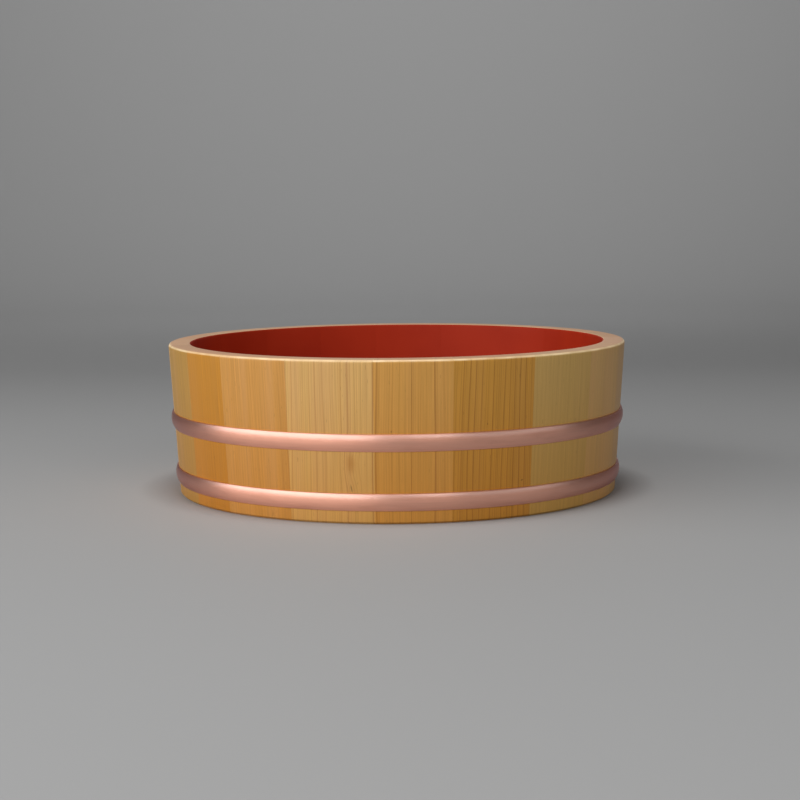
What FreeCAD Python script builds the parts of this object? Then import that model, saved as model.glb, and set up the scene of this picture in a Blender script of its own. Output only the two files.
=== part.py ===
import FreeCAD, Part
import math
import os

# Coopered serving tub: a ring of upright wooden staves, wider at the rim than at the foot,
# pinned edge to edge and drawn tight by two domed copper hoops. A round bottom of three
# pinned boards snaps into a groove cut inside the staves. Millimetres, +Z up; the origin
# is the centre of the foot circle, on the surface that the tub stands on. The front is -Y.

# Body
RIM_DIAMETER = 240.0        # outside, at the top
FOOT_DIAMETER = 230.0       # outside, at the foot
HEIGHT = 78.5
WALL = 11.5                 # stave thickness, the same all the way up
RIM_OUTER_ROUND = 1.5
RIM_INNER_ROUND = 1.0
FOOT_OUTER_CHAMFER = 1.0
FOOT_INNER_CHAMFER = 0.8

# Staves, by their widths round the rim from left to right. The ring is shared out in these
# proportions, so it always closes.
FIRST_JOINT = -78.5         # degrees from the front, positive to the right
STAVE_WIDTHS = (37.5, 31.0, 40.8, 43.8, 38.3, 42.9, 40.8, 36.9, 42.0, 38.0,
                44.0, 35.0, 41.0, 43.0, 37.0, 40.0, 45.0, 36.0, 41.0)

# Bamboo pins across each stave joint
PIN_DIAMETER = 3.0
PIN_LENGTH = 20.0
PIN_POINT_LENGTH = 2.5      # each end is whittled to a blunt point
PIN_POINT_DIAMETER = 1.4
PIN_SIDE_CLEARANCE = 0.03
PIN_END_CLEARANCE = 0.4
LOWER_PIN_HEIGHT = 27.0
UPPER_PIN_HEIGHT = 59.0

# Bottom and its groove
BOTTOM_THICKNESS = 10.0
BOTTOM_LIFT = 7.0           # its underside, above the surface
GROOVE_DEPTH = 2.0
GROOVE_FLANK = 2.5          # rise of each sloping flank
GROOVE_CLEARANCE = 0.04
BOARD_JOINTS = (-33.0, 38.0)    # where the boards meet, along Y
BOARD_PIN_SPACING = 62.0
BOARD_PINS = 3              # in each board joint

# Hoops, rolled from copper strip and brazed into rings
HOOP_WIDTH = 8.4
HOOP_STRIP = 1.0            # strip thickness
HOOP_CROWN = 1.6            # how far the middle of the dome stands off the wood
HOOP_LOWER_EDGE = 0.3       # height of its edges, the upper one a little heavier
HOOP_UPPER_EDGE = 0.7
HOOP_FOOT = 0.9             # width of the band that bears on the wood, at each edge
HOOP_CENTRES = {"lower_hoop": 10.6, "upper_hoop": 39.1}      # heights of their middles

AXIS = FreeCAD.Vector(0, 0, 1)
ORIGIN = FreeCAD.Vector(0, 0, 0)
FULL_TURN = 360.0
SLOPE = (RIM_DIAMETER - FOOT_DIAMETER) / 2 / HEIGHT     # outward lean of the wall


def outside_radius(z):
    """Radius of the tub's outside at a height."""
    return FOOT_DIAMETER / 2 + SLOPE * z


def inside_radius(z):
    """Radius of the tub's inside at a height, away from the groove."""
    return outside_radius(z) - WALL


def section_point(r, z):
    """A point of a section, which is drawn in the XZ plane."""
    return FreeCAD.Vector(r, 0, z)


def outline(corners):
    """A closed face from (r, z, rounding) corners, with an arc at each rounded one."""
    points = [section_point(r, z) for r, z, _ in corners]
    starts, ends, arcs = [], [], []
    for i, (_, _, rounding) in enumerate(corners):
        here = points[i]
        to_last = (points[i - 1] - here).normalize()
        to_next = (points[(i + 1) % len(points)] - here).normalize()
        if rounding == 0:
            starts.append(here)
            ends.append(here)
            arcs.append(None)
            continue
        half = to_last.getAngle(to_next) / 2
        reach = rounding / math.tan(half)
        inward = (to_last + to_next).normalize()
        middle = here + inward * (rounding / math.sin(half) - rounding)
        starts.append(here + to_last * reach)
        ends.append(here + to_next * reach)
        arcs.append(Part.Arc(starts[-1], middle, ends[-1]).toShape())
    edges = []
    for i, arc in enumerate(arcs):
        if arc is not None:
            edges.append(arc)
        edges.append(Part.makeLine(ends[i], starts[(i + 1) % len(starts)]))
    return Part.Face(Part.Wire(edges))


def turned(face, start=0.0, sweep=FULL_TURN):
    """The solid that a section makes when it is turned about the tub's axis."""
    solid = face.revolve(ORIGIN, AXIS, sweep)
    solid.rotate(ORIGIN, AXIS, start)
    return solid


def groove_corners(clearance):
    """The groove's section, from its lower lip to its upper one. The bottom's edge has the
    same section, held back by a clearance."""
    low = BOTTOM_LIFT
    high = BOTTOM_LIFT + BOTTOM_THICKNESS
    return [
        (inside_radius(low) - clearance, low, 0),
        (inside_radius(low + GROOVE_FLANK) + GROOVE_DEPTH - clearance, low + GROOVE_FLANK, 0),
        (inside_radius(high - GROOVE_FLANK) + GROOVE_DEPTH - clearance, high - GROOVE_FLANK, 0),
        (inside_radius(high) - clearance, high, 0),
    ]


def wall_section():
    """The section of a stave: foot, sloping outside, rounded rim, inside and groove."""
    return outline(
        [
            (outside_radius(0) - FOOT_OUTER_CHAMFER, 0, 0),
            (outside_radius(FOOT_OUTER_CHAMFER), FOOT_OUTER_CHAMFER, 0),
            (outside_radius(HEIGHT), HEIGHT, RIM_OUTER_ROUND),
            (inside_radius(HEIGHT), HEIGHT, RIM_INNER_ROUND),
        ]
        + groove_corners(0)[::-1]
        + [
            (inside_radius(FOOT_INNER_CHAMFER), FOOT_INNER_CHAMFER, 0),
            (inside_radius(0) + FOOT_INNER_CHAMFER, 0, 0),
        ]
    )


def joint_angles():
    """The angle of each stave joint, and of the first again after a full turn. They are
    polar angles from +X, so the front is at -90 degrees."""
    angles = [FIRST_JOINT - 90.0]
    for width in STAVE_WIDTHS:
        angles.append(angles[-1] + width / sum(STAVE_WIDTHS) * FULL_TURN)
    return angles


def round_bar(radius, length, centre, direction):
    """A plain cylinder, centred on a point."""
    start = centre - direction * (length / 2)
    return Part.makeCylinder(radius, length, start, direction)


def pin_hole(centre, direction):
    """What is drilled for one pin, half in each of the two pieces that it joins."""
    return round_bar(
        PIN_DIAMETER / 2 + PIN_SIDE_CLEARANCE,
        PIN_LENGTH + 2 * PIN_END_CLEARANCE,
        centre,
        direction,
    )


def bamboo_pin(centre, direction):
    """A round pin with both ends whittled to blunt points."""
    straight = PIN_LENGTH - 2 * PIN_POINT_LENGTH
    pin = round_bar(PIN_DIAMETER / 2, straight, centre, direction)
    for way in (direction, direction * -1):
        point = Part.makeCone(
            PIN_DIAMETER / 2,
            PIN_POINT_DIAMETER / 2,
            PIN_POINT_LENGTH,
            centre + way * (straight / 2),
            way,
        )
        pin = pin.fuse(point)
    return pin.removeSplitter()


def stave_pin_seats():
    """Centre and direction of each pin in the stave joints, two to a joint, in mid-wall."""
    seats = []
    for angle in joint_angles()[:-1]:
        a = math.radians(angle)
        outward = FreeCAD.Vector(math.cos(a), math.sin(a), 0)
        along = FreeCAD.Vector(-math.sin(a), math.cos(a), 0)
        for z in (LOWER_PIN_HEIGHT, UPPER_PIN_HEIGHT):
            middle = outside_radius(z) - WALL / 2
            seats.append((outward * middle + AXIS * z, along))
    return seats


def staves():
    """The staves, in order round the tub, each drilled at both edges."""
    section = wall_section()
    holes = [pin_hole(*seat) for seat in stave_pin_seats()]
    angles = joint_angles()
    made = []
    for i, (start, end) in enumerate(zip(angles, angles[1:])):
        blank = turned(section, start, end - start)
        near = holes[2 * i : 2 * i + 2]
        following = 2 * (i + 1) % len(holes)
        near += holes[following : following + 2]
        made.append(blank.cut(near))
    return made


def bottom_pin_seats():
    """Centre and direction of each pin in the joints of the bottom boards."""
    across = FreeCAD.Vector(0, 1, 0)
    mid_height = BOTTOM_LIFT + BOTTOM_THICKNESS / 2
    first = -BOARD_PIN_SPACING * (BOARD_PINS - 1) / 2
    return [
        (FreeCAD.Vector(first + k * BOARD_PIN_SPACING, y, mid_height), across)
        for y in BOARD_JOINTS
        for k in range(BOARD_PINS)
    ]


def bottom_boards():
    """The round bottom, bevelled to fit the groove and cut along its board joints."""
    low = (0, BOTTOM_LIFT, 0)
    high = (0, BOTTOM_LIFT + BOTTOM_THICKNESS, 0)
    disc = turned(outline([low] + groove_corners(GROOVE_CLEARANCE) + [high]))
    disc = disc.cut([pin_hole(*seat) for seat in bottom_pin_seats()])
    reach = RIM_DIAMETER
    limits = (-reach,) + BOARD_JOINTS + (reach,)
    boards = []
    for y0, y1 in zip(limits, limits[1:]):
        slab = Part.makeBox(2 * reach, y1 - y0, HEIGHT, FreeCAD.Vector(-reach, y0, 0))
        boards.append(disc.common(slab))
    return boards


def hoop(centre_height):
    """A ring of domed strip whose two edges bear on the sloping wall."""
    along = FreeCAD.Vector(SLOPE, 0, 1).normalize()
    off = FreeCAD.Vector(1, 0, -SLOPE).normalize()
    seat = section_point(outside_radius(centre_height), centre_height)
    half = HOOP_WIDTH / 2

    def at(u, v):
        return seat + along * u + off * v

    edges = [
        Part.makeLine(at(-half, 0), at(-half, HOOP_LOWER_EDGE)),
        Part.Arc(
            at(-half, HOOP_LOWER_EDGE), at(0, HOOP_CROWN), at(half, HOOP_UPPER_EDGE)
        ).toShape(),
        Part.makeLine(at(half, HOOP_UPPER_EDGE), at(half, 0)),
        Part.makeLine(at(half, 0), at(half - HOOP_FOOT, 0)),
        Part.Arc(
            at(half - HOOP_FOOT, 0), at(0, HOOP_CROWN - HOOP_STRIP), at(HOOP_FOOT - half, 0)
        ).toShape(),
        Part.makeLine(at(HOOP_FOOT - half, 0), at(-half, 0)),
    ]
    return turned(Part.Face(Part.Wire(edges)))


def write_part(name, shape):
    """Writes one node, after checking that it is closed solid material."""
    solids = shape.Solids
    if not solids or not shape.isValid() or min(s.Volume for s in solids) <= 0:
        raise ValueError(name + " is not a valid solid")
    result = solids[0] if len(solids) == 1 else Part.makeCompound(solids)
    result.exportStep(os.path.join("parts", name + ".step"))


def main():
    os.makedirs("parts", exist_ok=True)
    for number, stave in enumerate(staves(), 1):
        write_part("stave_%02d" % number, stave)
    for name, board in zip(("front_board", "middle_board", "back_board"), bottom_boards()):
        write_part("bottom_" + name, board)
    for name, centre_height in HOOP_CENTRES.items():
        write_part(name, hoop(centre_height))
    write_part("stave_pins", Part.makeCompound([bamboo_pin(*s) for s in stave_pin_seats()]))
    write_part("bottom_pins", Part.makeCompound([bamboo_pin(*s) for s in bottom_pin_seats()]))


main()
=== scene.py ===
# %% [markdown]
# # A lacquered serving tub
#
# This lesson dresses a small coopered tub: nineteen softwood staves round a raised bottom, two
# domed copper hoops, and red lacquer inside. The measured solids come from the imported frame,
# so every size below is read from them, and the lesson adds what a plain solid lacks: fine
# edges, real timber with its growth rings, brushed metal and a sprayed film of lacquer.
#
# Blender's unit here is the metre. The front of the tub faces -Y and up is +Z.

# %% Load the measured solids
import math
import random

import bmesh
import bpy
import numpy as np
from mathutils import Matrix, Vector


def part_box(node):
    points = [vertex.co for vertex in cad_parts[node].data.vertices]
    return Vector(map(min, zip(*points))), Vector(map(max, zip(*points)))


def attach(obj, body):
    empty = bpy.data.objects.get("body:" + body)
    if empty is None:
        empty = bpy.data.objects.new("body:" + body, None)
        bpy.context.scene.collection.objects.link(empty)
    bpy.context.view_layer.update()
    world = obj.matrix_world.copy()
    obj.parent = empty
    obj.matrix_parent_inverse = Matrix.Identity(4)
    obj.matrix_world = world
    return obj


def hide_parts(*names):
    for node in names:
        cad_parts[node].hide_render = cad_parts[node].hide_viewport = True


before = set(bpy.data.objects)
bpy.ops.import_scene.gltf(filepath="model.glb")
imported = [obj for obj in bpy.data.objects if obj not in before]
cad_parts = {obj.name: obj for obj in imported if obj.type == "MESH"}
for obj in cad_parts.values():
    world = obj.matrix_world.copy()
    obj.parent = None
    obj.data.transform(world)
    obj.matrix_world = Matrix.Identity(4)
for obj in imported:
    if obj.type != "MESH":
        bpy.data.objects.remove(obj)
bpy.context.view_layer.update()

MM = 0.001

print("solids in the frame:", len(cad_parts))

# %% [markdown]
# ## Reading the tub's sizes
#
# A cooper works from a few numbers: how wide the tub is at rim and foot, how thick the wall is,
# and where the joints between the staves fall. They could be typed in again, but then the
# dressed tub and the solid one might drift apart. Each is measured instead, from the points of
# the solids, as an angle round the tub, a distance from its axis and a height.

# %% Measure the wall
def polar(node):
    """Angles from the front, distances from the axis and heights of a solid's points."""
    points = np.array([v.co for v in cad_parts[node].data.vertices])
    angles = np.arctan2(points[:, 0], -points[:, 1])
    return angles, np.hypot(points[:, 0], points[:, 1]), points[:, 2]


def spot(r, angle, z):
    """The point at a distance from the axis, an angle from the front and a height."""
    return Vector((r * math.sin(angle), -r * math.cos(angle), z))


STAVES = sorted(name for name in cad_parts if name[:6] == "stave_" and name[6:].isdigit())
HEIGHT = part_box(STAVES[0])[1].z

FOOT_BAND = (0.2 * MM, 3 * MM)     # heights between which the wall's lowest points lie
RIM_BAND = 2 * MM                  # depth below the rim that holds its highest ones

_, wall_r, wall_z = polar(STAVES[0])
foot_edge = (wall_z > FOOT_BAND[0]) & (wall_z < FOOT_BAND[1])
low_r, low_z = wall_r[foot_edge].max(), wall_z[foot_edge][wall_r[foot_edge].argmax()]
high_r, high_z = wall_r.max(), wall_z[wall_r.argmax()]
LEAN = (high_r - low_r) / (high_z - low_z)
FOOT_RADIUS = low_r - LEAN * low_z
UP_SLOPE = Vector((LEAN, 1)).normalized()
OFF_SLOPE = Vector((1, -LEAN)).normalized()


def outside(z):
    """Distance of the wall's outside from the axis, at a height."""
    return FOOT_RADIUS + LEAN * z


rim_edge = wall_z > HEIGHT - RIM_BAND
inner_r, inner_z = wall_r[rim_edge].min(), wall_z[rim_edge][wall_r[rim_edge].argmin()]
WALL = outside(inner_z) - inner_r


def inside(z):
    """Distance of the wall's inside from the axis, at a height."""
    return outside(z) - WALL


print("rim radius %.2f mm, foot radius %.2f mm" % (outside(HEIGHT) / MM, FOOT_RADIUS / MM))
print("wall %.2f mm thick, leaning %.2f degrees" % (WALL / MM, math.degrees(math.atan(LEAN))))

# %% [markdown]
# ## Where the joints fall
#
# Staves are never all one width: a cooper uses each plank to its best. The two joint faces of a
# stave are planes through the tub's axis, so a stave is fully placed by two angles. Angles wrap
# round at the back, so they are taken about the stave's own middle before the smallest and the
# largest are read off.

# %% Measure the joints
def wrapped(angle):
    """An angle brought to between half a turn left and half a turn right of the front."""
    return (angle + math.pi) % math.tau - math.pi


def span(node):
    """The angles at which a stave starts and ends, from left to right."""
    angles, _, _ = polar(node)
    middle = math.atan2(np.sin(angles).mean(), np.cos(angles).mean())
    off = wrapped(angles - middle)
    return middle + off.min(), middle + off.max()


SPANS = {name: span(name) for name in STAVES}
widths = [(end - start) * outside(HEIGHT) / MM for start, end in SPANS.values()]
print("staves from %.1f to %.1f mm wide at the rim" % (min(widths), max(widths)))

# %% [markdown]
# ## A way to draw sections
#
# A maker draws a section as a few corners and notes beside each how far it is rounded. The
# same list does here, and short arcs are worked out where a corner is eased. A bevel
# modifier could round the edges afterwards, but it would round them all alike, and on the
# tub the rim, the foot and the groove each have a rounding of their own.

# %% Round the corners of a drawing
ARC_STEPS = 6


def rounded(corners, steps=ARC_STEPS):
    """A closed outline from (r, z, rounding) corners, with a short arc at each eased one."""
    points = [Vector((r, z)) for r, z, _ in corners]
    line = []
    for i, (_, _, rounding) in enumerate(corners):
        here = points[i]
        if rounding == 0:
            line.append(here)
            continue
        back = (points[i - 1] - here).normalized()
        on = (points[(i + 1) % len(points)] - here).normalized()
        half = back.angle(on) / 2
        reach = rounding / math.tan(half)
        centre = here + (back + on).normalized() * (rounding / math.sin(half))
        first = here + back * reach - centre
        last = here + on * reach - centre
        for k in range(steps + 1):
            line.append(centre + first.slerp(last, k / steps).normalized() * rounding)
    return line


def with_rows(line, longest):
    """The same outline with its long straight runs cut into shorter ones."""
    out = []
    for here, following in zip(line, line[1:] + line[:1]):
        cuts = max(1, math.ceil((following - here).length / longest))
        out += [here.lerp(following, k / cuts) for k in range(cuts)]
    return out


def shrunk(line, by):
    """The outline drawn in by a small distance all round."""
    out = []
    for last, here, following in zip(line[-1:] + line[:-1], line, line[1:] + line[:1]):
        along = ((here - last).normalized() + (following - here).normalized()).normalized()
        out.append(here + Vector((-along.y, along.x)) * by)
    return out


# %% [markdown]
# ## The section of a stave
#
# Every stave is one straight plank whose edges are bevelled to meet on a plane through the
# tub's axis. Cut across, it shows the rounded rim, the sloping outside, the chamfered foot
# and the bevelled groove that holds the bottom. The groove is measured from the bottom
# boards that sit in it, so the two fit. The small roundings are typed in, because a mesh
# doesn't say which of its corners were meant to be round.

# %% Draw the stave's section
RIM_OUTER_ROUND = 1.5 * MM
RIM_INNER_ROUND = 1.0 * MM
FOOT_CHAMFER = 1.0 * MM
FOOT_INNER_CHAMFER = 0.8 * MM
CHAMFER_EASE = 0.25 * MM    # a plane leaves no knife edge
ROW_HEIGHT = 3.5 * MM
GROOVE_BAND = 0.3 * MM      # how near the boards' edge its flat part is

BOARDS = ["bottom_front_board", "bottom_middle_board", "bottom_back_board"]
_, board_r, board_z = polar(BOARDS[0])
BOTTOM_LOW, BOTTOM_HIGH = board_z.min(), board_z.max()
deepest = board_r > board_r.max() - GROOVE_BAND
GROOVE_LOW, GROOVE_HIGH = board_z[deepest].min(), board_z[deepest].max()
GROOVE_DEPTH = board_r.max() - inside(GROOVE_HIGH)


def wall_section():
    """The stave's section, anticlockwise from the foot: outside, rim, inside, groove."""
    corners = [
        (outside(0) - FOOT_CHAMFER, 0, CHAMFER_EASE),
        (outside(FOOT_CHAMFER), FOOT_CHAMFER, CHAMFER_EASE),
        (outside(HEIGHT), HEIGHT, RIM_OUTER_ROUND),
        (inside(HEIGHT), HEIGHT, RIM_INNER_ROUND),
        (inside(BOTTOM_HIGH), BOTTOM_HIGH, 0),
        (inside(GROOVE_HIGH) + GROOVE_DEPTH, GROOVE_HIGH, 0),
        (inside(GROOVE_LOW) + GROOVE_DEPTH, GROOVE_LOW, 0),
        (inside(BOTTOM_LOW), BOTTOM_LOW, 0),
        (inside(FOOT_INNER_CHAMFER), FOOT_INNER_CHAMFER, CHAMFER_EASE),
        (inside(0) + FOOT_INNER_CHAMFER, 0, CHAMFER_EASE),
    ]
    return with_rows(rounded(corners), ROW_HEIGHT)


SECTION = wall_section()
print("the section has %d points, its groove is %.2f mm deep" % (len(SECTION), GROOVE_DEPTH / MM))

# %% [markdown]
# ## Drilled joint faces
#
# The flat faces where two staves meet are drilled for their bamboo pins, as on the real tub,
# so the pins have somewhere to be. A boolean cut could make the holes, but it can leave a
# ragged mesh. Here the rows of points that a sweep leaves are joined by faces, and each end
# is filled between its outline and the mouths of its two holes.

# %% Sweep a section, drill its ends, finish a mesh
PIN_LENGTH = 20 * MM
PIN_RADIUS = 1.5 * MM
HOLE_RADIUS = PIN_RADIUS + 0.03 * MM
HOLE_DEPTH = PIN_LENGTH / 2 + 0.4 * MM
HOLE_SIDES = 20
SHARP_FROM = 35             # degrees between two faces

_, _, pin_z = polar("stave_pins")
PIN_HEIGHTS = (pin_z.min() + PIN_RADIUS, pin_z.max() - PIN_RADIUS)
print("pins at heights of", [round(float(z) / MM, 1) for z in PIN_HEIGHTS], "mm")


def skin(bm, rows, closed):
    """Faces between neighbouring rows of points, and from the last back to the first."""
    pairs = list(zip(rows, rows[1:]))
    if closed:
        pairs.append((rows[-1], rows[0]))
    for left, right in pairs:
        for i, here in enumerate(left):
            j = (i + 1) % len(left)
            bm.faces.new((here, right[i], right[j], left[j]))


def drilled_end(bm, row, angle, into):
    """Closes one end of a stave with its flat joint face and the two pin holes in it."""
    edges = [bm.edges.get((a, b)) for a, b in zip(row, row[1:] + row[:1])]
    depth = Vector((math.cos(angle), math.sin(angle), 0)) * into * HOLE_DEPTH
    turns = [math.tau * k / HOLE_SIDES for k in range(HOLE_SIDES)]
    for z in PIN_HEIGHTS:
        r = outside(z) - WALL / 2
        ring = [spot(r + HOLE_RADIUS * math.cos(t), angle, z + HOLE_RADIUS * math.sin(t))
                for t in turns]
        mouth = [bm.verts.new(p) for p in ring]
        end = [bm.verts.new(p + depth) for p in ring]
        edges += [bm.edges.new((a, b)) for a, b in zip(mouth, mouth[1:] + mouth[:1])]
        skin(bm, [mouth, end], closed=False)
        bm.faces.new(end)
    bmesh.ops.triangle_fill(bm, use_beauty=True, edges=edges)


def finished(name, bm, sharp=SHARP_FROM):
    """Turns mesh data into a piece with smooth faces and crisp edges."""
    bmesh.ops.recalc_face_normals(bm, faces=bm.faces)
    open_edges = sum(1 for e in bm.edges if not e.is_manifold)
    mesh = bpy.data.meshes.new(name)
    bm.to_mesh(mesh)
    bm.free()
    mesh.shade_smooth()
    mesh.set_sharp_from_angle(angle=math.radians(sharp))
    piece = bpy.data.objects.new(name, mesh)
    bpy.context.scene.collection.objects.link(piece)
    if open_edges:
        print(name, "has", open_edges, "open edges")
    return piece


# %% [markdown]
# ## The staves
#
# A stave could be cut from the whole ring with a knife tool, but its ends would then be blunt
# planes. Sweeping the section through the stave's own angle gives room for what a cooper
# leaves: an arris of a few hundredths of a millimetre along each joint, and a face that the
# plane has left a shade flatter than the true circle.

# %% Make the staves
ARRIS = 0.07 * MM
FACE_FLATNESS = 0.06 * MM
COLUMN_WIDTH = 1.3 * MM


def columns(start, end):
    """Angles across a stave, with one close to each joint for the arris."""
    arris = ARRIS / outside(HEIGHT)
    count = math.ceil((end - start) * outside(HEIGHT) / COLUMN_WIDTH)
    inner = np.linspace(start + arris, end - arris, count + 1)
    return [start, *inner, end]


def flattened(line, share):
    """The outline at a share of the way across a stave, with the plane's slight flat."""
    dip = FACE_FLATNESS * 4 * share * (1 - share)
    middle = outside(HEIGHT / 2) - WALL / 2
    return [Vector((p.x - dip, p.y)) if p.x > middle else p for p in line]


def stave(node):
    """One stave, as a closed mesh in its place."""
    start, end = SPANS[node]
    bm = bmesh.new()
    rows = []
    for angle in columns(start, end):
        line = flattened(SECTION, (angle - start) / (end - start))
        if angle in (start, end):
            line = shrunk(line, ARRIS)
        rows.append([bm.verts.new(spot(p.x, angle, p.y)) for p in line])
    skin(bm, rows, closed=False)
    drilled_end(bm, rows[0], start, 1)
    drilled_end(bm, rows[-1], end, -1)
    return finished(node + "_plank", bm)


planks = {}
for name in STAVES:
    planks[name] = stave(name)
    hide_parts(name)
    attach(planks[name], "root")
print("staves:", len(planks), "with", sum(len(p.data.polygons) for p in planks.values()), "faces")

# %% [markdown]
# ## The copper hoops
#
# Each hoop is a strip of copper rolled to a dome, bent into a ring, brazed shut and driven up
# the taper from the foot. Only its two edges touch the wood, and its upper edge is a little
# heavier. Its width, crown and edges are read off the solid, in a frame that leans with the
# wall, and the strip is then drawn as an arched outline with rounded edges. A torus would be
# quicker, but it would be as thick as it is wide.

# %% Measure and draw a hoop's strip
STRIP = 1.0 * MM
EDGE_ROUND = 0.15 * MM
BEARING = 0.9 * MM          # width of the band that touches the wood, at each edge
DOME_STEPS = 14
EDGE_BAND = 0.05 * MM       # points this near an edge belong to it
FOOT_CORNER = Vector((FOOT_RADIUS, 0))


def hoop_sizes(node):
    """Where a hoop's strip starts and ends up the wall, its crown and its two edges."""
    _, r, z = polar(node)
    up = (r - FOOT_RADIUS) * UP_SLOPE.x + z * UP_SLOPE.y
    off = (r - FOOT_RADIUS) * OFF_SLOPE.x + z * OFF_SLOPE.y
    return {
        "low": up.min(),
        "high": up.max(),
        "crown": off.max(),
        "lower_edge": off[up < up.min() + EDGE_BAND].max(),
        "upper_edge": off[up > up.max() - EDGE_BAND].max(),
    }


def arc_through(first, middle, last, steps):
    """Points of the arc that runs from one point through a second to a third."""
    a, b, c = Vector(first), Vector(middle), Vector(last)
    ab, ac = b - a, c - a
    turn = 2 * (ab.x * ac.y - ab.y * ac.x)
    reach = Vector((ac.y * ab.length_squared - ab.y * ac.length_squared,
                    ab.x * ac.length_squared - ac.x * ab.length_squared)) / turn
    centre = a + reach
    return [centre + (a - centre).slerp(c - centre, k / steps).normalized() * reach.length
            for k in range(steps + 1)]


def strip_outline(sizes):
    """The hoop's section as (up the wall from its middle, off the wood) points."""
    half = (sizes["high"] - sizes["low"]) / 2
    low, high, crown, ease = sizes["lower_edge"], sizes["upper_edge"], sizes["crown"], EDGE_ROUND
    dome = arc_through((ease - half, low + ease / 2), (0, crown), (half - ease, high + ease / 2),
                       DOME_STEPS)
    hollow = arc_through((half - BEARING, 0), (0, crown - STRIP), (BEARING - half, 0), DOME_STEPS)
    lower_side = [(-half, 0), (-half, low - ease), (ease * 0.3 - half, low)]
    upper_side = [(half - ease * 0.3, high), (half, high - ease), (half, 0)]
    return lower_side + [tuple(p) for p in dome] + upper_side + [tuple(p) for p in hollow]


# %% [markdown]
# ## Rolling the hoops
#
# A hoop starts as a straight strip, so its ends have to meet. At the back one laps over the
# other, thinned and cut on the skew. A dark line in the colour could stand for that, but
# light catches a real step: the dome swells over the last centimetre or so and drops at
# once, and the rows of points stand closer together there to show it.

# %% Roll the hoops
HOOPS = ["lower_hoop", "upper_hoop"]
LAP_ANGLE = 171             # degrees from the front
LAP_LENGTH = 14 * MM        # over which the outer end swells to its lap
LAP_STEP = 0.16 * MM
LAP_SKEW = 0.55             # how far the cut leans along the ring, per width of strip
LAP_CLEAR = 2               # degrees to each side of the lap without coarse rows
LAP_ROW = 0.06              # degrees between the fine rows
LAP_ROWS = 24               # fine rows to each side of the lap


def lap(angle, up):
    """How much thicker the strip is at a point, where its ends lap at the back."""
    past = wrapped(angle - math.radians(LAP_ANGLE)) * outside(0) - LAP_SKEW * up
    return LAP_STEP * (1 + past / LAP_LENGTH) if -LAP_LENGTH < past <= 0 else 0.0


def hoop_angles():
    """Angles round a hoop: one a degree, and much closer where the ends lap."""
    coarse = [math.radians(k) for k in range(-180, 180) if abs(k - LAP_ANGLE) > LAP_CLEAR]
    fine = [math.radians(LAP_ANGLE + LAP_ROW * k) for k in range(-LAP_ROWS, LAP_ROWS + 1)]
    return sorted(coarse + fine)


def hoop(node):
    """One hoop, seated on the wall where the frame has it."""
    sizes = hoop_sizes(node)
    seat = FOOT_CORNER + UP_SLOPE * (sizes["low"] + sizes["high"]) / 2
    bm = bmesh.new()
    rows = []
    for angle in hoop_angles():
        row = []
        for up, off in strip_outline(sizes):
            raised = lap(angle, up) if off > sizes["upper_edge"] else 0.0
            p = seat + UP_SLOPE * up + OFF_SLOPE * (off + raised)
            row.append(bm.verts.new(spot(p.x, angle, p.y)))
        rows.append(row)
    skin(bm, rows, closed=True)
    print(node, {key: round(value / MM, 2) for key, value in sizes.items()})
    return finished(node + "_band", bm)


bands = {}
for name in HOOPS:
    bands[name] = hoop(name)
    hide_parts(name)
    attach(bands[name], "root")

# %% [markdown]
# ## The red lacquer
#
# After assembly the inside is sprayed with several coats, so the lacquer is one skin over all
# the staves and the bottom. It pulls thick in the corner and ends on the small round inside
# the rim. A red material on each stave would show none of that, so the film is a piece of its
# own, a closed shell a sixth of a millimetre thick. Its section is drawn first.

# %% Draw the film's section
FILM = 0.16 * MM
FILM_GAP = 0.01 * MM
CORNER_FILLET = 1.6 * MM
CORNER_STEPS = 7
FLOOR_RINGS = 30
FILM_ROW = 4.5 * MM
FILM_END = math.radians(62)     # how far up the round inside the rim the spray reaches
FILM_EDGE_STEPS = 6
FEATHER_ROWS = 4            # rows over which the film thins to its end


def film_line():
    """The wood under the film, from the rim's round down the wall and in to the axis."""
    centre = Vector((inside(HEIGHT) + RIM_INNER_ROUND, HEIGHT - RIM_INNER_ROUND))
    line = []
    for k in range(FILM_EDGE_STEPS + 1):
        up = FILM_END * (1 - k / FILM_EDGE_STEPS)
        line.append(centre + Vector((-math.cos(up), math.sin(up))) * RIM_INNER_ROUND)
    top = line[-1]
    foot_z = BOTTOM_HIGH + CORNER_FILLET
    foot = Vector((inside(foot_z), foot_z))
    cuts = round((top - foot).length / FILM_ROW)
    line += [top.lerp(foot, k / cuts) for k in range(1, cuts)]
    turn = math.pi / 2 - math.atan(LEAN)
    for k in range(CORNER_STEPS + 1):
        a = turn * k / CORNER_STEPS
        line.append(foot + CORNER_FILLET * Vector((math.cos(a) - 1, -math.sin(a))))
    edge = line[-1]
    line += [Vector((edge.x * (1 - k / FLOOR_RINGS), BOTTOM_HIGH)) for k in range(1, FLOOR_RINGS)]
    return line


def lifted(line, by):
    """The line moved off the wood, less and less towards its end at the rim."""
    out = []
    for i, here in enumerate(line):
        last, following = line[max(i - 1, 0)], line[min(i + 1, len(line) - 1)]
        along = (following - last).normalized()
        out.append(here + Vector((along.y, -along.x)) * by * min(1, i / FEATHER_ROWS))
    return out


print("the film's line has %d points" % len(film_line()))

# %% [markdown]
# ## Spraying the lacquer
#
# The lacquer hides the joints but still tells of them, because it sinks a little over each
# one as it dries, and the flats that the plane left show through it. A bump map would only
# shade that. The film is swept round the tub in one go instead, its points moved by the
# relief at their angle, with the rows closer together at the joints.

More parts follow.
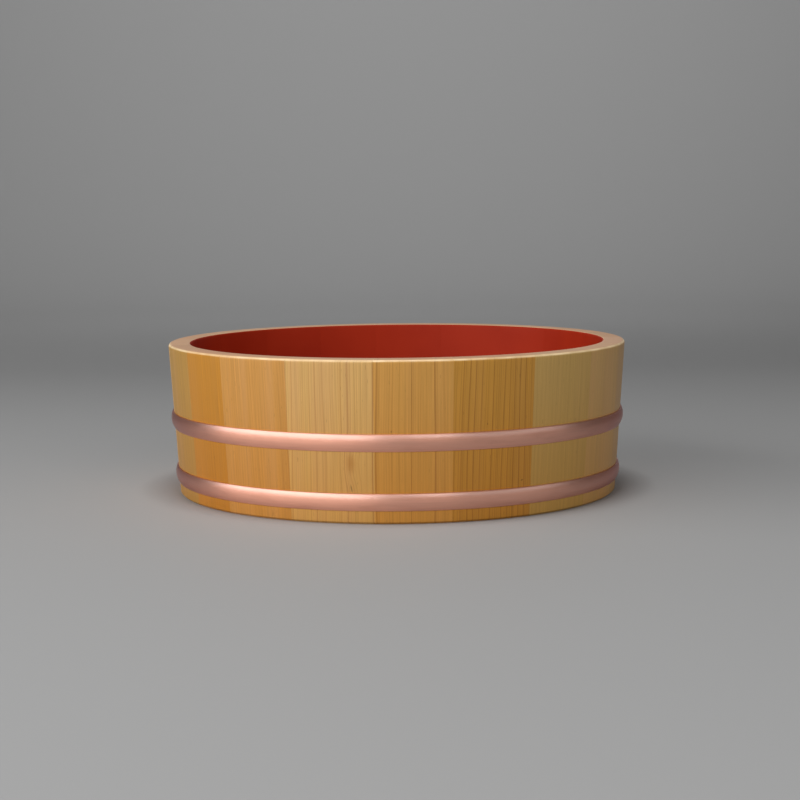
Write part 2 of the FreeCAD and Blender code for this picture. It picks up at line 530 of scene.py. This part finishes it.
# %% Spray the lacquer
JOINT_SINK = 0.05 * MM
JOINT_SINK_WIDTH = 0.8 * MM
INNER_FLATNESS = 0.09 * MM
JOINT_ROWS = (-0.5, -0.22, 0, 0.22, 0.5)    # degrees from a joint
RELIEF_ROWS = 6             # rows from the rim over which the relief comes in


def joint_relief(angle):
    """How far the film stands in from a true circle, for the joints and the flat of staves."""
    for start, end in SPANS.values():
        if 0 <= (angle - start) % math.tau < (end - start):
            share = ((angle - start) % math.tau) / (end - start)
            across = min(share, 1 - share) * (end - start) * inside(HEIGHT)
            sink = JOINT_SINK * math.exp(-((across / JOINT_SINK_WIDTH) ** 2))
            return INNER_FLATNESS * 4 * share * (1 - share) - sink
    return 0.0


def film_angles():
    """Angles round the tub, closer together at the joints."""
    angles = set(math.radians(k) for k in range(360))
    for start, _ in SPANS.values():
        angles |= {(start + math.radians(off)) % math.tau for off in JOINT_ROWS}
    return sorted(angles)


def lacquer_film():
    """The whole film as one closed shell."""
    under = film_line()
    face = lifted(under, FILM + FILM_GAP)
    back = lifted(under, FILM_GAP)
    bm = bmesh.new()
    rows = []
    for angle in film_angles():
        relief = joint_relief(angle)
        row = []
        for i, p in enumerate(face):
            on_wall = min(1, i / RELIEF_ROWS) if p.y > BOTTOM_HIGH + CORNER_FILLET else 0
            row.append(bm.verts.new(spot(p.x - relief * on_wall, angle, p.y)))
        row += [bm.verts.new(spot(p.x, angle, p.y)) for p in back[:0:-1]]
        rows.append(row)
    top = bm.verts.new((0, 0, BOTTOM_HIGH + FILM + FILM_GAP))
    below = bm.verts.new((0, 0, BOTTOM_HIGH + FILM_GAP))
    last = len(face) - 1
    for left, right in zip(rows, rows[1:] + rows[:1]):
        for i, here in enumerate(left):
            j = (i + 1) % len(left)
            if i == last:
                bm.faces.new((here, right[i], top))
                bm.faces.new((left[j], right[j], below))
            else:
                bm.faces.new((here, right[i], right[j], left[j]))
    return finished("lacquer_film", bm, sharp=60)


lacquer = lacquer_film()
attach(lacquer, "root")
print("lacquer:", len(lacquer.data.polygons), "faces")

# %% [markdown]
# ## A small kit for materials
#
# A material is a graph of nodes. Wiring them one by one buries the idea under bookkeeping, so
# a few short helpers do the wiring: one makes any node and plugs in its inputs, two do sums, one
# gives a soft step between two values and one gives smooth noise. What is the same all over a
# surface is set on the shader itself, and only what changes from place to place gets a node.

# %% Helpers for materials
def lay(tree, kind, inputs=None, **settings):
    """A node with its settings, and its inputs set to values or joined to other nodes."""
    node = tree.nodes.new(kind)
    for name, value in settings.items():
        setattr(node, name, value)
    for key, value in (inputs or {}).items():
        if isinstance(value, bpy.types.NodeSocket):
            tree.links.new(value, node.inputs[key])
        else:
            node.inputs[key].default_value = value
    return node


def sums(tree, operation, *values):
    """The result of one sum."""
    return lay(tree, "ShaderNodeMath", dict(enumerate(values)), operation=operation).outputs[0]


def vectors(tree, operation, *values):
    """The result of one sum on vectors."""
    node = lay(tree, "ShaderNodeVectorMath", dict(enumerate(values)), operation=operation)
    return node.outputs["Value" if operation in ("LENGTH", "DOT_PRODUCT") else "Vector"]


def step(tree, value, low, high, to_low=0.0, to_high=1.0):
    """A soft step: to_low where the value is under low, to_high where it is over high."""
    inputs = {"Value": value, "From Min": low, "From Max": high}
    inputs |= {"To Min": to_low, "To Max": to_high}
    return lay(tree, "ShaderNodeMapRange", inputs, interpolation_type="SMOOTHSTEP").outputs[0]


def noise(tree, vector, stretch, detail=2.0, roughness=0.5):
    """Smooth noise about 0.5, with so many waves a millimetre along each axis."""
    stretched = vectors(tree, "MULTIPLY", vector, stretch)
    inputs = {"Vector": stretched, "Scale": 1.0, "Detail": detail, "Roughness": roughness}
    return lay(tree, "ShaderNodeTexNoise", inputs).outputs["Fac"]


def mixed(tree, share, first, second, blend="MIX"):
    """A mix of two colours."""
    node = lay(tree, "ShaderNodeMix", data_type="RGBA", blend_type=blend)
    for key, value in (("Factor_Float", share), ("A_Color", first), ("B_Color", second)):
        socket = next(s for s in node.inputs if s.identifier == key)
        if isinstance(value, bpy.types.NodeSocket):
            tree.links.new(value, socket)
        else:
            socket.default_value = value
    return next(s for s in node.outputs if s.identifier == "Result_Color")


# %% [markdown]
# ## Colours and empty materials
#
# A paint chart gives colours as the eye sees them, but a shader reckons in amounts of light,
# so each colour is turned into light first. Every material here starts the same way, with a
# shader and the place of each point. The place is in millimetres, so that the grain and the
# grooves can be given in the sizes they have on the workbench.

# %% Colours and empty materials
def paint(red, green, blue):
    """A colour as a paint chart gives it, 0 to 255, turned into light for the shader."""
    def light(c):
        c /= 255
        return c / 12.92 if c <= 0.04045 else ((c + 0.055) / 1.055) ** 2.4
    return (light(red), light(green), light(blue), 1.0)


print("a chart grey of 128 is %.2f of full light" % paint(128, 128, 128)[0])


def new_material(name):
    """An empty material with its shader, and the position of each point in millimetres."""
    material = bpy.data.materials.new(name)
    material.use_nodes = True
    tree = material.node_tree
    tree.nodes.clear()
    shader = lay(tree, "ShaderNodeBsdfPrincipled")
    output = lay(tree, "ShaderNodeOutputMaterial")
    tree.links.new(shader.outputs["BSDF"], output.inputs["Surface"])
    place = lay(tree, "ShaderNodeTexCoord").outputs["Object"]
    return material, tree, shader, vectors(tree, "MULTIPLY", place, (1 / MM, 1 / MM, 1 / MM))


# %% [markdown]
# ## Timber
#
# Wood isn't a picture glued on a surface: each stave is cut from a log, and the growth rings run
# right through it. So the material rebuilds the log. Every point of the stave is placed in the
# plank it was sawn from, its distance from the log's pith says which ring it is in, and each
# ring gets its own darkness. The same rings then show as lines down the face, and as lines
# across the wall on the rim, which no flat texture would match up.
#
# Latewood darkens slowly through the season and stops at once in winter, so a line is soft on
# one side and sharp on the other. Fainter lines between the strong ones are lean years.

# %% Place a point in its plank, and find its ring
def in_stave(angle, slope):
    """For a stave: points as across the plank, behind its face, and along the grain."""
    def placed(tree, place):
        turned = lay(tree, "ShaderNodeMapping",
                     {"Vector": place, "Rotation": (0, 0, -angle),
                      "Location": (0, outside(HEIGHT / 2) / MM, -HEIGHT / 2 / MM)}).outputs[0]
        return lay(tree, "ShaderNodeMapping",
                   {"Vector": turned, "Rotation": (-math.atan(LEAN), slope, 0)}).outputs[0]
    return placed


def in_board(tree, place):
    """For a bottom board, whose grain runs from left to right."""
    parts = lay(tree, "ShaderNodeSeparateXYZ", {0: place}).outputs
    return lay(tree, "ShaderNodeCombineXYZ", {0: parts[1], 1: parts[2], 2: parts[0]}).outputs[0]


def chance(tree, number, seed):
    """A random value from 0 to 1 for a whole number."""
    return lay(tree, "ShaderNodeTexWhiteNoise", {"W": sums(tree, "ADD", number, seed)},
               noise_dimensions="1D").outputs["Value"]


def latewood(tree, count, seed, opens, weakest):
    """Darkness of the latewood, 0 to 1, where count goes up by one from ring to ring."""
    share = sums(tree, "FRACT", count)
    grown = sums(tree, "MULTIPLY", step(tree, share, opens, 0.94), step(tree, share, 1.0, 0.95))
    year = chance(tree, sums(tree, "FLOOR", count), seed)
    return sums(tree, "MULTIPLY", grown, step(tree, year, 0.0, 1.0, weakest, 1.0))


# %% [markdown]
# ## Grain, knots and small marks
#
# Over the rings lie the fibres: long thin threads, broad streaks and short resin dashes, all
# stretched along the grain. A small knot pushes the rings aside as it grows, so it moves the
# distance from the pith before the rings are read from it, and the lines bend round it by
# themselves. Single marks such as a pitch streak are ellipses laid on the plank.

# %% Rings, knots and fibres
def ring_distance(tree, plank, grain, pith, knot):
    """Distance from the log's pith in millimetres, bent by slow growth and by a knot."""
    across = vectors(tree, "MULTIPLY", vectors(tree, "SUBTRACT", plank, (*pith, 0)), (1, 1, 0))
    radius = vectors(tree, "LENGTH", across)
    for stretch, reach in (((0.04, 0.04, 0.008), 5.0), ((0.2, 0.2, 0.02), 0.7)):
        bend = sums(tree, "SUBTRACT", noise(tree, grain, stretch, 1.0), 0.5)
        radius = sums(tree, "MULTIPLY_ADD", bend, reach, radius)
    if knot is None:
        return radius, None
    u, v, wide, tall = knot
    around = vectors(tree, "MULTIPLY", vectors(tree, "SUBTRACT", plank, (u, 0, v)),
                     (1 / wide, 0, 1 / tall))
    far = vectors(tree, "LENGTH", around)
    radius = sums(tree, "MULTIPLY_ADD", step(tree, far, 3.4, 0.3), 2.6, radius)
    return radius, step(tree, far, 1.3, 0.1)


def fibres(tree, grain, strength, dashes):
    """Lightness of the fibres, about 1, and the fine threads alone."""
    threads = noise(tree, grain, (2.0, 2.0, 0.04), 3.0, 0.6)
    streaks = noise(tree, grain, (0.6, 0.6, 0.008), 2.0)
    light = sums(tree, "MULTIPLY_ADD", sums(tree, "SUBTRACT", threads, 0.5), 0.34 * strength, 1.0)
    light = sums(tree, "MULTIPLY_ADD", sums(tree, "SUBTRACT", streaks, 0.5), 0.22 * strength, light)
    specks = step(tree, noise(tree, grain, (2.2, 2.2, 0.24), 1.0), 0.70, 0.82)
    return sums(tree, "MULTIPLY_ADD", specks, -dashes, light), threads


def marked(tree, plank, light, marks):
    """The lightness with single small dark marks laid on the plank."""
    for u, v, wide, tall, dark, tilt in marks:
        off = lay(tree, "ShaderNodeMapping", {"Vector": vectors(tree, "SUBTRACT", plank, (u, 0, v)),
                                              "Rotation": (0, tilt, 0)}).outputs[0]
        far = vectors(tree, "LENGTH", vectors(tree, "MULTIPLY", off, (1 / wide, 0, 1 / tall)))
        light = sums(tree, "MULTIPLY", light, step(tree, far, 0.4, 1.1, 1 - dark, 1.0))
    return light


# %% [markdown]
# ## Painted shade and light, and what use does to the wood
#
# Towards the foot the wood is painted darker and deeper in colour. That is painted shade, for the
# lower wall, which gets less light and less sheen. End grain is painted paler and pinker, partly
# its own tone and partly a painted sheen on the rim's top. The rounded edge between face and end
# grain is palest, partly rubbed each time the tub is held and partly a painted highlight. All three
# could be painted on an image by hand, but a point's height and the way its face looks already say
# where each belongs.

# %% Paint shade at the foot, sheen on the end grain and a highlight on the rounded edge
# Painted shade: the wood is multiplied darker towards the foot, standing in for the less light
# there.
FOOT_SHADE = paint(243, 229, 198)
# Partly the end grain's own tone, partly a painted sheen on the rim's top.
END_GRAIN_AND_SHEEN = paint(208, 164, 140)
# Partly rubbed wood, partly a painted highlight on the rim's rounded edge.
RUBBED_AND_HIGHLIGHT = paint(255, 230, 186)


def use_and_painted_light(tree, colour, place, grain, along):
    """The colour with painted light and use: painted shade towards the foot, end grain paler and
    pinker, partly its own tone and partly painted sheen, and the rim's rounded edge pale, partly
    rubbed and partly a painted highlight.
    """
    up = lay(tree, "ShaderNodeSeparateXYZ", {0: place}).outputs[2]
    # painted shade, darker towards the foot
    shade_to_foot = step(tree, up, 0.0, HEIGHT / MM, 1.0, 0.0)
    colour = mixed(tree, shade_to_foot, colour, FOOT_SHADE, "MULTIPLY")
    normal = lay(tree, "ShaderNodeNewGeometry").outputs["Normal"]
    tilt = vectors(tree, "DOT_PRODUCT", normal, along)
    # end grain tint, partly painted sheen
    end = step(tree, sums(tree, "ABSOLUTE", tilt), 0.75, 0.97)
    colour = mixed(tree, sums(tree, "MULTIPLY", end, 0.6), colour, END_GRAIN_AND_SHEEN)
    # painted highlight on the rounded edge, mixed with rubbing
    edge = sums(tree, "MULTIPLY", step(tree, tilt, 0.2, 0.6), step(tree, tilt, 1.0, 0.8))
    rub_and_highlight = step(tree, noise(tree, grain, (0.12, 0.12, 0.12), 1.0), 0.3, 0.7, 0.45, 0.8)
    return mixed(tree, sums(tree, "MULTIPLY", edge, rub_and_highlight), colour, RUBBED_AND_HIGHLIGHT)


# %% [markdown]
# ## Putting the timber together
#
# The log gives the colour of early and late wood, a broad blush of pinker wood comes and goes,
# and the fibres lighten and darken the lot. The same rings and threads also shape the surface
# by a hair, so that the light picks them out. The clear coat over it is thin and satin.

# %% Build the timber material
BLUSH = paint(206, 156, 106)
KNOT_WOOD = paint(176, 118, 50)


def ringed(tree, grain, radius, spacing, contrast, seed):
    """Darkness of the rings at a distance from the pith: strong ones, with faint ones between."""
    drift = noise(tree, grain, (0.05, 0.05, 0.0), 1.0)
    count = sums(tree, "MULTIPLY_ADD", radius, 1 / spacing, sums(tree, "MULTIPLY", drift, 2.5))
    strong = latewood(tree, count, seed * 7.0, 0.66, 0.25)
    faint = latewood(tree, sums(tree, "MULTIPLY", count, 3.0), seed * 5.0, 0.45, 0.0)
    rings = sums(tree, "MAXIMUM", strong, sums(tree, "MULTIPLY", faint, 0.5))
    return sums(tree, "MULTIPLY", rings, contrast)


def timber(name, placed, light, line, spacing, contrast, pith, along=(0, 0, 1), blush=0.25,
           seed=0.0, fibre=1.0, dashes=0.3, knot=None, marks=()):
    """The wood of one plank. Lengths are in millimetres, pith is where the heart of the log
    is, across the plank and behind its face, and along is the way that the grain runs."""
    material, tree, shader, place = new_material(name)
    plank = placed(tree, place)
    grain = vectors(tree, "ADD", plank, (seed * 37.0, seed * 11.0, seed * 53.0))
    radius, knot_wood = ring_distance(tree, plank, grain, pith, knot)
    rings = ringed(tree, grain, radius, spacing, contrast, seed)

    colour = mixed(tree, rings, paint(*light), paint(*line))
    band = step(tree, noise(tree, grain, (0.10, 0.10, 0.003), 1.0), 0.47, 0.64)
    colour = mixed(tree, sums(tree, "MULTIPLY", band, blush), colour, BLUSH)
    if knot_wood:
        colour = mixed(tree, sums(tree, "MULTIPLY", knot_wood, 0.55), colour, KNOT_WOOD)
    lightness, threads = fibres(tree, grain, fibre, dashes)
    lightness = marked(tree, plank, lightness, marks)
    grey = lay(tree, "ShaderNodeCombineXYZ", {k: lightness for k in range(3)}).outputs[0]
    colour = mixed(tree, 1.0, colour, grey, "MULTIPLY")
    tree.links.new(use_and_painted_light(tree, colour, place, grain, along), shader.inputs["Base Color"])

    rough = step(tree, threads, 0.2, 0.8, 0.42, 0.54)
    tree.links.new(rough, shader.inputs["Roughness"])
    height = sums(tree, "SUBTRACT", threads, rings)
    bump = lay(tree, "ShaderNodeBump", {"Height": height, "Strength": 0.22, "Distance": 0.02 * MM})
    tree.links.new(bump.outputs[0], shader.inputs["Normal"])
    shader.inputs["Coat Weight"].default_value = 0.2
    shader.inputs["Coat Roughness"].default_value = 0.2
    shader.inputs["Specular IOR Level"].default_value = 0.2
    return material


# %% [markdown]
# ## Choosing the planks
#
# A cooper mixes planks, and the tub shows it: close-grained rosy ones beside wide-ringed golden
# ones. The nine in front follow what can be seen. The ten behind are dealt from the same
# stock by a seeded draw, so the tub comes out the same every time.

# %% Give each stave its plank
SEEN_PLANKS = [
    dict(light=(182, 138, 65), line=(152, 103, 39), spacing=2.2, contrast=0.3, pith=(-90, 20)),
    dict(light=(191, 130, 41), line=(162, 101, 28), spacing=1.9, contrast=0.35, pith=(80, 30),
         blush=0.05),
    dict(light=(201, 145, 72), line=(170, 107, 46), spacing=1.7, contrast=0.45, pith=(-120, 20),
         fibre=1.3, dashes=0.4, blush=0.25),
    dict(light=(211, 167, 100), line=(164, 107, 49), spacing=3.3, contrast=0.7, pith=(-88.6, 14),
         slope=-0.02, blush=0.3, knot=(10.2, -9.9, 2.4, 5.2),
         marks=[(10.5, -22.0, 0.45, 2.4, 0.45, 0.2)]),
    dict(light=(204, 150, 74), line=(155, 100, 39), spacing=3.7, contrast=0.65, pith=(110, 10),
         blush=0.08, marks=[(-10.6, 5.3, 0.35, 0.6, 0.4, 0.0)]),
    dict(light=(193, 139, 56), line=(141, 89, 28), spacing=3.0, contrast=0.7, pith=(141.2, 0),
         blush=0.05, marks=[(15.5, -21.0, 0.8, 0.45, 0.5, 0.3), (-4.0, 7.6, 0.4, 0.6, 0.35, 0.0)]),
    dict(light=(193, 156, 89), line=(162, 124, 61), spacing=2.6, contrast=0.3, pith=(-130, 25),
         blush=0.05),
    dict(light=(200, 159, 99), line=(166, 119, 61), spacing=1.8, contrast=0.3, pith=(100, 30)),
    dict(light=(194, 154, 101), line=(160, 115, 63), spacing=2.0, contrast=0.4, pith=(-110, 20)),
]


def dealt_plank(draw):
    """A plank like the ones that can be seen."""
    like = draw.choice(SEEN_PLANKS)
    return dict(
        light=like["light"],
        line=like["line"],
        spacing=draw.uniform(1.6, 3.8),
        contrast=draw.uniform(0.4, 0.9),
        pith=(draw.choice((-1, 1)) * draw.uniform(70, 140), draw.uniform(0, 30)),
        slope=draw.uniform(-0.02, 0.02),
        blush=draw.uniform(0.1, 0.4),
    )


DEAL = 19                   # the seed of the draw

draw = random.Random(DEAL)
for number, name in enumerate(STAVES):
    plank = SEEN_PLANKS[number] if number < len(SEEN_PLANKS) else dealt_plank(draw)
    cut = {key: value for key, value in plank.items() if key != "slope"}
    placed = in_stave(sum(SPANS[name]) / 2, plank.get("slope", 0.0))
    planks[name].data.materials.append(timber(name + "_wood", placed, seed=number + 1.0, **cut))
print("planks with their own grain:", len(planks))

# %% [markdown]
# ## The bottom boards and the pins
#
# Underneath, the bottom is bare wood under a clear coat: three boards with their grain side by
# side. The pins that hold boards and staves together are split from bamboo and whittled, so
# they are all fine straight fibres. Both kinds keep their measured solids, whose shape is
# right, and only get their materials.

# %% Dress the boards and the pins
BOARD_PITHS = ((-70, 46), (-160, 30), (60, 52))


def bamboo():
    """Whittled bamboo: pale, with fine darker strands."""
    material, tree, shader, place = new_material("whittled_bamboo")
    strands = noise(tree, place, (3.5, 3.5, 3.5), 3.0, 0.6)
    colour = mixed(tree, step(tree, strands, 0.35, 0.7), paint(216, 190, 134), paint(168, 138, 84))
    tree.links.new(colour, shader.inputs["Base Color"])
    bump = lay(tree, "ShaderNodeBump", {"Height": strands, "Strength": 0.3, "Distance": 0.03 * MM})
    tree.links.new(bump.outputs[0], shader.inputs["Normal"])
    shader.inputs["Roughness"].default_value = 0.6
    return material


def redress(node, material):
    """Gives a solid of the frame its material."""
    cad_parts[node].data.materials.clear()
    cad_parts[node].data.materials.append(material)


for number, (name, pith) in enumerate(zip(BOARDS, BOARD_PITHS)):
    redress(name, timber(name + "_wood", in_board, (211, 168, 112), (172, 121, 63), 3.4, 0.7, pith,
                         along=(1, 0, 0), seed=40.0 + number))
pin_bamboo = bamboo()
for name in ("stave_pins", "bottom_pins"):
    redress(name, pin_bamboo)
print("boards:", len(BOARDS), "and two sets of pins")

# %% [markdown]
# ## Brushed copper
#
# The hoops are brushed lengthwise and clear-lacquered. Brushing leaves fine grooves that run
# round the ring, and they throw a highlight out across themselves, up and down the dome, while
# it stays narrow along the ring. The shader's anisotropy does this: its tangent runs round
# the axis, and a quarter turn sets the stretch across the grooves. The clear coat over it adds
# a second, whiter gleam along the crown.

# %% Copper for the hoops
def copper():
    """Brushed copper under a clear coat."""
    material, tree, shader, place = new_material("brushed_copper")
    parts = lay(tree, "ShaderNodeSeparateXYZ", {0: place}).outputs
    away = vectors(tree, "LENGTH", vectors(tree, "MULTIPLY", place, (1, 1, 0)))
    angle = sums(tree, "ARCTAN2", parts[0], sums(tree, "MULTIPLY", parts[1], -1.0))
    grooves = lay(tree, "ShaderNodeCombineXYZ", {0: angle, 1: away, 2: parts[2]}).outputs[0]
    brushed = noise(tree, grooves, (4.0, 5.0, 5.0), 3.0, 0.6)
    cloud = noise(tree, grooves, (6.0, 0.3, 0.3), 2.0)
    bright = mixed(tree, step(tree, brushed, 0.3, 0.7), paint(233, 160, 130), paint(243, 171, 140))
    colour = mixed(tree, step(tree, cloud, 0.45, 0.75, 0.0, 0.35), bright, paint(210, 130, 98))
    tree.links.new(colour, shader.inputs["Base Color"])
    tree.links.new(step(tree, brushed, 0.25, 0.75, 0.44, 0.54), shader.inputs["Roughness"])
    bump = lay(tree, "ShaderNodeBump", {"Height": brushed, "Strength": 0.3, "Distance": 0.02 * MM})
    tree.links.new(bump.outputs[0], shader.inputs["Normal"])
    tangent = lay(tree, "ShaderNodeTangent", direction_type="RADIAL", axis="Z")
    tree.links.new(tangent.outputs[0], shader.inputs["Tangent"])
    shader.inputs["Metallic"].default_value = 1.0
    shader.inputs["Anisotropic"].default_value = 0.75
    shader.inputs["Anisotropic Rotation"].default_value = 0.25
    shader.inputs["Specular Tint"].default_value = (0.6, 0.1, 0.05, 1.0)
    shader.inputs["Coat Weight"].default_value = 1.0
    shader.inputs["Coat Roughness"].default_value = 0.32
    shader.inputs["Coat IOR"].default_value = 2.2
    return material


metal = copper()
for name in HOOPS:
    bands[name].data.materials.append(metal)
print("hoops of", metal.name)

# %% [markdown]
# ## The lacquer's colour
#
# Sprayed lacquer is satin rather than glossy, and nearly one colour. What keeps it from looking
# like plastic is small: a slow drift in the red, the faint orange-peel of the spray, and a
# fine line over each joint of the bottom boards, where the film has sunk as it dried.

# %% Red for the lacquer
BOARD_JOINTS = [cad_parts[name] for name in BOARDS[1:]]
JOINT_LINES = [min(v.co.y for v in node.data.vertices) / MM for node in BOARD_JOINTS]


def red_lacquer():
    """Satin red lacquer."""
    material, tree, shader, place = new_material("red_lacquer")
    cloud = noise(tree, place, (0.03, 0.03, 0.03))
    colour = mixed(tree, step(tree, cloud, 0.3, 0.7), paint(151, 35, 9), paint(159, 40, 12))
    tree.links.new(colour, shader.inputs["Base Color"])
    height = noise(tree, place, (0.45, 0.45, 0.45), 1.0)
    parts = lay(tree, "ShaderNodeSeparateXYZ", {0: place}).outputs
    low = step(tree, parts[2], BOTTOM_HIGH / MM + 1.0, BOTTOM_HIGH / MM + 0.4)
    for y in JOINT_LINES:
        near = sums(tree, "ABSOLUTE", sums(tree, "SUBTRACT", parts[1], y))
        sunk = sums(tree, "MULTIPLY", step(tree, near, 0.9, 0.0), low)
        height = sums(tree, "MULTIPLY_ADD", sunk, -2.0, height)
    bump = lay(tree, "ShaderNodeBump", {"Height": height, "Strength": 0.2, "Distance": 0.02 * MM})
    tree.links.new(bump.outputs[0], shader.inputs["Normal"])
    shader.inputs["Roughness"].default_value = 0.55
    shader.inputs["Specular IOR Level"].default_value = 0.12
    return material


lacquer.data.materials.append(red_lacquer())
print("bottom joints at", [round(y, 1) for y in JOINT_LINES], "mm")

# %% [markdown]
# ## The studio floor
#
# The tub stands on pale paper that curves up into a backdrop all round, so there is no horizon
# line from any side. Its shader is clear from behind, so the tub can also be seen from below,
# and a round hole that the foot covers lets a lamp reach the underside.

# %% Roll out the paper
FLOOR_RADIUS = 1.5
SWEEP_RADIUS = 0.7
WALL_TOP = 1.3
PAPER = 0.36                # how much light it gives back
FLOOR_RINGS_AT = (0.2, 0.5, 1.0, FLOOR_RADIUS)
SWEEP_STEPS = 12
PAPER_SECTOR = 5            # degrees


def paper_sweep():
    """The floor and backdrop as one sheet, facing the tub."""
    hole = outside(0) - FOOT_CHAMFER
    profile = [(r, 0.0) for r in (hole, *FLOOR_RINGS_AT)]
    for k in range(1, SWEEP_STEPS + 1):
        a = math.pi / 2 * k / SWEEP_STEPS
        profile.append((FLOOR_RADIUS + SWEEP_RADIUS * math.sin(a),
                        SWEEP_RADIUS * (1 - math.cos(a))))
    profile.append((FLOOR_RADIUS + SWEEP_RADIUS, WALL_TOP))
    bm = bmesh.new()
    rows = [[bm.verts.new(spot(r, math.radians(a), z)) for r, z in profile]
            for a in range(0, 360, PAPER_SECTOR)]
    for left, right in zip(rows, rows[1:] + rows[:1]):
        for i in range(len(profile) - 1):
            bm.faces.new((left[i], left[i + 1], right[i + 1], right[i]))
    mesh = bpy.data.meshes.new("stage_floor")
    bm.to_mesh(mesh)
    bm.free()
    mesh.shade_smooth()
    sheet = bpy.data.objects.new("stage_floor", mesh)
    bpy.context.scene.collection.objects.link(sheet)
    return sheet


def paper():
    """Plain paper, seen from its front only."""
    material, tree, shader, _ = new_material("stage_paper")
    shader.inputs["Base Color"].default_value = (PAPER, PAPER, PAPER, 1)
    shader.inputs["Roughness"].default_value = 0.7
    clear = lay(tree, "ShaderNodeBsdfTransparent").outputs[0]
    behind = lay(tree, "ShaderNodeNewGeometry").outputs["Backfacing"]
    blend = lay(tree, "ShaderNodeMixShader", {0: behind, 1: shader.outputs[0], 2: clear})
    output = next(n for n in tree.nodes if n.type == "OUTPUT_MATERIAL")
    tree.links.new(blend.outputs[0], output.inputs["Surface"])
    return material


floor = paper_sweep()
floor.data.materials.append(paper())
print("paper %.1f m across" % (2 * (FLOOR_RADIUS + SWEEP_RADIUS)))

# %% [markdown]
# ## Light
#
# One large soft box to the left does most of the work, so the tub is brightest left of its
# middle, and the lacquer is darkest on the side near the lamp. It is wide and stands low,
# because a domed hoop mirrors whatever lights it: a high lamp would leave only a thin line on
# the hoop's upper edge. Two weak boxes keep the right side from going dark, a small one
# overhead draws the bright line on the rim, and one is aimed at the backdrop alone. The last
# is below, for the underside.

# %% Set the lights
AIM = Vector((0, 0, 0.04))


def soft_box(name, place, width, height, watts, target=AIM):
    """A rectangular lamp that the camera doesn't see."""
    data = bpy.data.lights.new(name, "AREA")
    data.shape = "RECTANGLE"
    data.size = width
    data.size_y = height
    data.energy = watts
    lamp = bpy.data.objects.new(name, data)
    bpy.context.scene.collection.objects.link(lamp)
    lamp.location = place
    lamp.rotation_euler = (target - Vector(place)).to_track_quat("-Z", "Y").to_euler()
    lamp.visible_camera = False
    return lamp


soft_box("key", (-1.00, -0.70, 0.56), 2.5, 0.8, 20.0)
soft_box("front", (0.37, -1.14, 0.64), 0.6, 0.5, 2.4)
soft_box("fill", (1.06, -0.56, 0.42), 1.2, 0.5, 1.7)
soft_box("overhead", (0, -0.16, 1.15), 0.3, 0.3, 5.2)
soft_box("backdrop", (0, 1.2, 1.0), 0.8, 0.5, 5.5, Vector((0, 2.1, 0.5)))
soft_box("under", (0, 0, -1.0), 0.5, 0.5, 6.0)

WORLD_LIGHT = 0.05

studio = bpy.data.worlds.new("studio")
bpy.context.scene.world = studio
studio.use_nodes = True
studio.node_tree.nodes["Background"].inputs["Color"].default_value = (1, 1, 1, 1)
studio.node_tree.nodes["Background"].inputs["Strength"].default_value = WORLD_LIGHT

# %% [markdown]
# ## The camera
#
# The view is a long lens from about a metre away and a little above the rim, looking slightly
# down and tilted by a hair to one side. Its place was found by fitting the rim, the hoops and
# the foot to the edges in the photograph, and the numbers below are what that fit gave.

# %% Set the camera
PITCH = 0.1135              # radians, down
ROLL = -0.0092
YAW = 0.00155
LENS = 83.15                # millimetres
STAND = (0, -0.9757, 0.1573)

camera = bpy.data.objects.new("camera", bpy.data.cameras.new("camera"))
bpy.context.scene.collection.objects.link(camera)
bpy.context.scene.camera = camera
camera.data.lens = LENS
ahead = Vector((math.sin(YAW) * math.cos(PITCH), math.cos(YAW) * math.cos(PITCH),
                -math.sin(PITCH)))
level = Vector((math.cos(YAW), -math.sin(YAW), 0))
upward = level.cross(ahead)
right = level * math.cos(ROLL) + upward * math.sin(ROLL)
up = upward * math.cos(ROLL) - level * math.sin(ROLL)
turned = Matrix((right, up, -ahead)).transposed().to_4x4()
camera.matrix_world = Matrix.Translation(STAND) @ turned
bpy.context.scene.view_settings.view_transform = "Standard"
print("camera at", [round(c, 3) for c in camera.matrix_world.translation])
